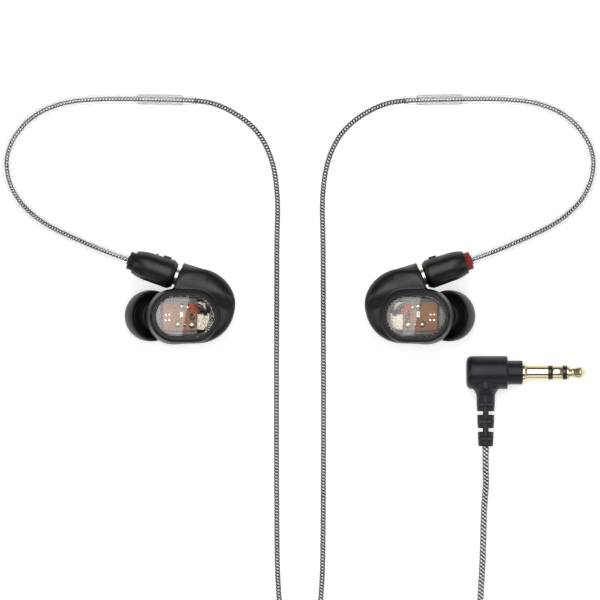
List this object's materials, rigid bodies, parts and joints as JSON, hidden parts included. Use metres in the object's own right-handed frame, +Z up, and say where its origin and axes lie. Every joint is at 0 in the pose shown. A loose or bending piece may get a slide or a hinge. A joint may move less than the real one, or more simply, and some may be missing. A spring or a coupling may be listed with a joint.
{
  "type": "in ear monitors",
  "caption": "Pair of over-ear in-ear monitors with clear windows, silicone tips, detachable clear braided Y cable, chin slider and angled stereo jack plug.",
  "frame": {"origin": "on the surface that the set lies on, under the middle of the two earpieces", "axes": "+Z up from that surface, +X from the left earpiece to the right one and along the jack plug, +Y from the splitter towards the ear hooks"},
  "size_m": [0.144, 0.2216, 0.0187],
  "materials": {
    "shell": "satin",
    "bezel": "gloss",
    "window": "clear",
    "board": "satin",
    "solder": "satin",
    "driver_can": "brushed",
    "manifold": "matte",
    "screen": "woven",
    "gold": "polished",
    "insulator": "satin",
    "spring_steel": "satin",
    "barrel": "satin",
    "hook_tube": "clear",
    "shrink_sleeve": "clear",
    "cord": "clear jacket over a black and silver braid",
    "silicone": "soft matte",
    "collar_left": "satin",
    "collar_right": "satin",
    "plug_plastic": "satin",
    "relief": "matte"
  },
  "bodies": {
    "cable_harness": {"connector_barrel_left": "barrel", "connector_collar_left": "collar_left", "contact_sleeve_left": "gold", "contact_pin_left": "gold", "ear_hook_left": "hook_tube", "hook_sleeve_left": "shrink_sleeve", "branch_cord_left": "cord", "connector_barrel_right": "barrel", "connector_collar_right": "collar_right", "contact_sleeve_right": "gold", "contact_pin_right": "gold", "ear_hook_right": "hook_tube", "hook_sleeve_right": "shrink_sleeve", "branch_cord_right": "cord", "splitter": "plug_plastic", "main_cord_lead": "cord", "main_cord_coil": "cord", "main_cord_tail": "cord", "plug_body": "plug_plastic", "plug_collar": "plug_plastic", "strain_relief": "relief", "jack_sleeve": "gold", "jack_ring": "gold", "jack_insulators": "insulator", "jack_tip": "gold"},
    "chin_slider": {"chin_slider": "plug_plastic"},
    "snap_ring_left": {"snap_ring_left": "spring_steel"},
    "earpiece_left": {"shell_front_left": "shell", "shell_back_left": "shell", "window_bezel_left": "bezel", "window_left": "window", "crossover_board_left": "board", "board_parts_left": "solder", "low_driver_left": "driver_can", "mid_driver_left": "driver_can", "high_driver_left": "driver_can", "sound_manifold_left": "manifold", "nozzle_left": "shell", "nozzle_screen_left": "screen", "socket_shell_left": "gold", "socket_insulator_left": "insulator", "socket_contact_left": "gold"},
    "ear_tip_left": {"ear_tip_left": "silicone"},
    "snap_ring_right": {"snap_ring_right": "spring_steel"},
    "earpiece_right": {"shell_front_right": "shell", "shell_back_right": "shell", "window_bezel_right": "bezel", "window_right": "window", "crossover_board_right": "board", "board_parts_right": "solder", "low_driver_right": "driver_can", "mid_driver_right": "driver_can", "high_driver_right": "driver_can", "sound_manifold_right": "manifold", "nozzle_right": "shell", "nozzle_screen_right": "screen", "socket_shell_right": "gold", "socket_insulator_right": "insulator", "socket_contact_right": "gold"},
    "ear_tip_right": {"ear_tip_right": "silicone"}
  },
  "joints": [
    {"name": "unplug_left", "type": "slide", "parent": "cable_harness", "child": "snap_ring_left", "axis": [0.9478, -0.319, 0], "range_m": [0, 0.0075]},
    {"name": "swivel_left", "type": "hinge", "parent": "snap_ring_left", "child": "earpiece_left", "pos_m": [-0.02912, 0.00474, 0.012], "axis": [-0.9478, 0.319, 0], "continuous": true},
    {"name": "tip_pull_left", "type": "slide", "parent": "earpiece_left", "child": "ear_tip_left", "axis": [-0.5, 0, -0.866], "range_m": [0, 0.007]},
    {"name": "unplug_right", "type": "slide", "parent": "cable_harness", "child": "snap_ring_right", "axis": [-0.9478, -0.319, 0], "range_m": [0, 0.0075]},
    {"name": "swivel_right", "type": "hinge", "parent": "snap_ring_right", "child": "earpiece_right", "pos_m": [0.02912, 0.00474, 0.012], "axis": [0.9478, 0.319, 0], "continuous": true},
    {"name": "tip_pull_right", "type": "slide", "parent": "earpiece_right", "child": "ear_tip_right", "axis": [0.5, 0, -0.866], "range_m": [0, 0.007]},
    {"name": "chin_slide", "type": "slide", "parent": "cable_harness", "child": "chin_slider", "axis": [0, 1, 0], "range_m": [0, 0.028]}
  ]
}
